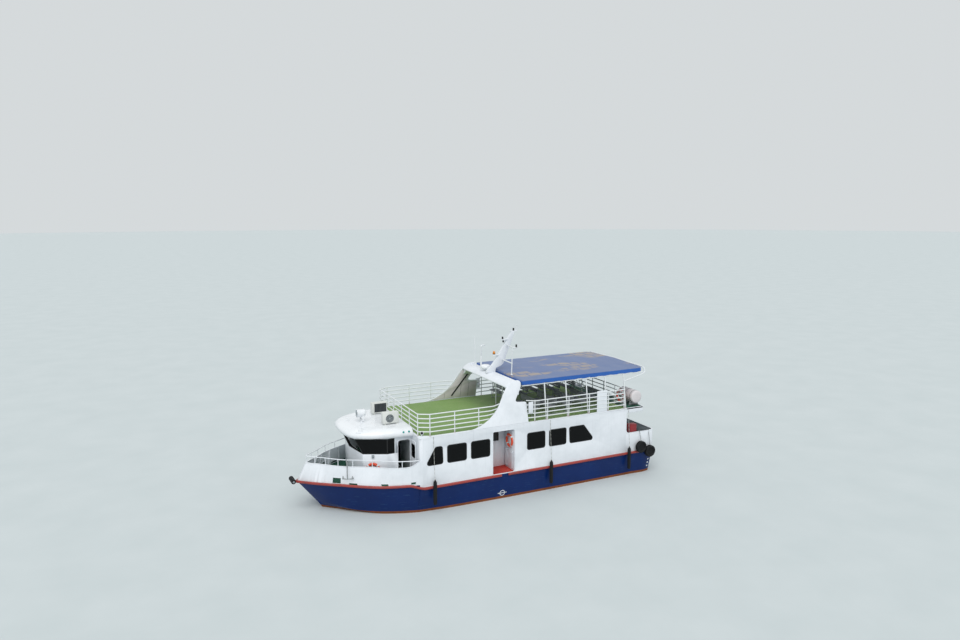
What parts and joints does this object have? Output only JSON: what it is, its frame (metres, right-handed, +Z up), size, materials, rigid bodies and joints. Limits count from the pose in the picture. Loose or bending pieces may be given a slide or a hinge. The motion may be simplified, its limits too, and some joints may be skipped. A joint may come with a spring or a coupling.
{
  "type": "passenger ferry",
  "caption": "Harbour passenger ferry with a hard-chine hull, forward wheelhouse, enclosed saloon, covered upper deck, raked mast, hinged doors, propellers and rudders.",
  "frame": {"origin": "amidships on the centreline at the waterline", "axes": "+X forward along the keel, +Y to port, +Z up out of the water"},
  "size_m": [19.7221, 6.9006, 9.5742],
  "materials": {
    "hull_blue": "satin marine enamel",
    "strake_red": "satin enamel, scuffed",
    "white_paint": "satin marine enamel",
    "grey_paint": "satin enamel",
    "turf": "matt pile",
    "deck_green": "matt non-slip deck paint",
    "rubber": "matt",
    "window_glass": "dark tinted",
    "steel": "bare, dull",
    "bronze": "cast, dull",
    "canopy_cloth": "coated cloth",
    "seat_blue": "moulded",
    "buoy_orange": "smooth, white bands"
  },
  "bodies": {
    "boat": {"hull": "hull_blue", "main_deck": "deck_green", "engines": "grey_paint", "rubbing_strake_fore": "strake_red", "rubbing_strake_aft": "strake_red", "bow_bulwark": "white_paint", "bow_rail": "white_paint", "bow_fender": "rubber", "windlass": "grey_paint", "anchor": "grey_paint", "wheelhouse_walls": "white_paint", "wheelhouse_glass": "window_glass", "wheelhouse_roof": "white_paint", "helm": "grey_paint", "cabin_side_port": "white_paint", "cabin_side_starboard": "white_paint", "cabin_glass_fore_port": "window_glass", "cabin_glass_fore_starboard": "window_glass", "cabin_glass_aft_port": "window_glass", "cabin_glass_aft_starboard": "window_glass", "cabin_front": "white_paint", "cabin_aft": "white_paint", "entrance_port": "white_paint", "entrance_starboard": "white_paint", "upper_deck": "turf", "arch": "white_paint", "rail_forward": "white_paint", "rail_side_port": "white_paint", "rail_side_starboard": "white_paint", "rail_stern": "white_paint", "canopy_frame": "white_paint", "canopy": "canopy_cloth", "mast": "white_paint", "radar_dome": "white_paint", "ac_unit_port": "white_paint", "ac_unit_starboard": "white_paint", "aft_bulwark": "white_paint", "stair": "grey_paint", "liferaft": "white_paint", "tyre_fenders_port": "rubber", "tyre_fenders_starboard": "rubber", "lifebuoy_wheelhouse": "buoy_orange", "lifebuoy_stern": "buoy_orange", "benches_port": "grey_paint", "benches_starboard": "grey_paint", "cabin_seats_port": "seat_blue", "cabin_seats_starboard": "seat_blue"},
    "propeller_port": {"propeller_port": "bronze"},
    "propeller_starboard": {"propeller_starboard": "bronze"},
    "rudder_port": {"rudder_port": "steel"},
    "rudder_starboard": {"rudder_starboard": "steel"},
    "wheelhouse_door_port": {"wheelhouse_door_port": "white_paint"},
    "wheelhouse_door_starboard": {"wheelhouse_door_starboard": "white_paint"},
    "aft_door": {"aft_door": "white_paint"},
    "foredeck_hatch": {"foredeck_hatch": "deck_green"},
    "searchlight": {"searchlight": "white_paint"}
  },
  "joints": [
    {"name": "propeller_port_spin", "type": "hinge", "parent": "boat", "child": "propeller_port", "pos_m": [-8.3, 1.05, -0.84], "axis": [0.9903, 0, 0.1386], "continuous": true},
    {"name": "rudder_port_turn", "type": "hinge", "parent": "boat", "child": "rudder_port", "pos_m": [-8.9, 1.05, -0.5], "axis": [0, 0, 1], "range_deg": [-35, 35]},
    {"name": "wheelhouse_door_port_swing", "type": "hinge", "parent": "boat", "child": "wheelhouse_door_port", "pos_m": [4.096, 2.09, 2.5], "axis": [0, 0, -1], "range_deg": [0, 90]},
    {"name": "propeller_starboard_spin", "type": "hinge", "parent": "boat", "child": "propeller_starboard", "pos_m": [-8.3, -1.05, -0.84], "axis": [0.9903, 0, 0.1386], "continuous": true},
    {"name": "rudder_starboard_turn", "type": "hinge", "parent": "boat", "child": "rudder_starboard", "pos_m": [-8.9, -1.05, -0.5], "axis": [0, 0, 1], "range_deg": [-35, 35]},
    {"name": "wheelhouse_door_starboard_swing", "type": "hinge", "parent": "boat", "child": "wheelhouse_door_starboard", "pos_m": [4.096, -2.09, 2.5], "axis": [0, 0, 1], "range_deg": [0, 90]},
    {"name": "aft_door_swing", "type": "hinge", "parent": "boat", "child": "aft_door", "pos_m": [-8.145, 0.4, 2.38], "axis": [0, 0, -1], "range_deg": [0, 100]},
    {"name": "foredeck_hatch_lift", "type": "hinge", "parent": "boat", "child": "foredeck_hatch", "pos_m": [6.92, 0, 1.665], "axis": [0, -1, 0], "range_deg": [0, 95]},
    {"name": "searchlight_tilt", "type": "hinge", "parent": "boat", "child": "searchlight", "pos_m": [5.94, 0.12, 4.56], "axis": [0, 1, 0], "range_deg": [-20, 30]}
  ],
  "couplings": [
    {"joint": "rudder_starboard_turn", "follows": "rudder_port_turn", "ratio": 1}
  ]
}
